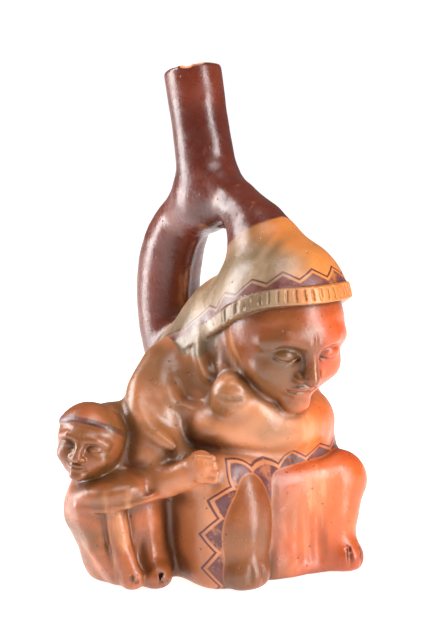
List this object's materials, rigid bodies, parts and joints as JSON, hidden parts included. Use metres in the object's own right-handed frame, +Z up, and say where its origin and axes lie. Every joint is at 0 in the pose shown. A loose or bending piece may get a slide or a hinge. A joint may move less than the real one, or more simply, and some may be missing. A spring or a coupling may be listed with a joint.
{
  "type": "stirrup spout vessel",
  "caption": "Hollow fired-clay vessel shaped as a seated woman with a child at her side, with an arched stirrup handle and a tubular spout.",
  "frame": {"origin": "on the flat underside, below the middle of the seated woman, in the plane of the stirrup", "axes": "+Z up, -Y the way the woman faces, +X her left; the child is at -X"},
  "size_m": [0.1341, 0.1341, 0.227],
  "materials": {
    "slip_painted_clay": "burnished slip, dark red on the stirrup, orange and cream on the figure, with a purple zigzag border"
  },
  "bodies": {
    "root": {"vessel": "slip_painted_clay"}
  },
  "joints": []
}
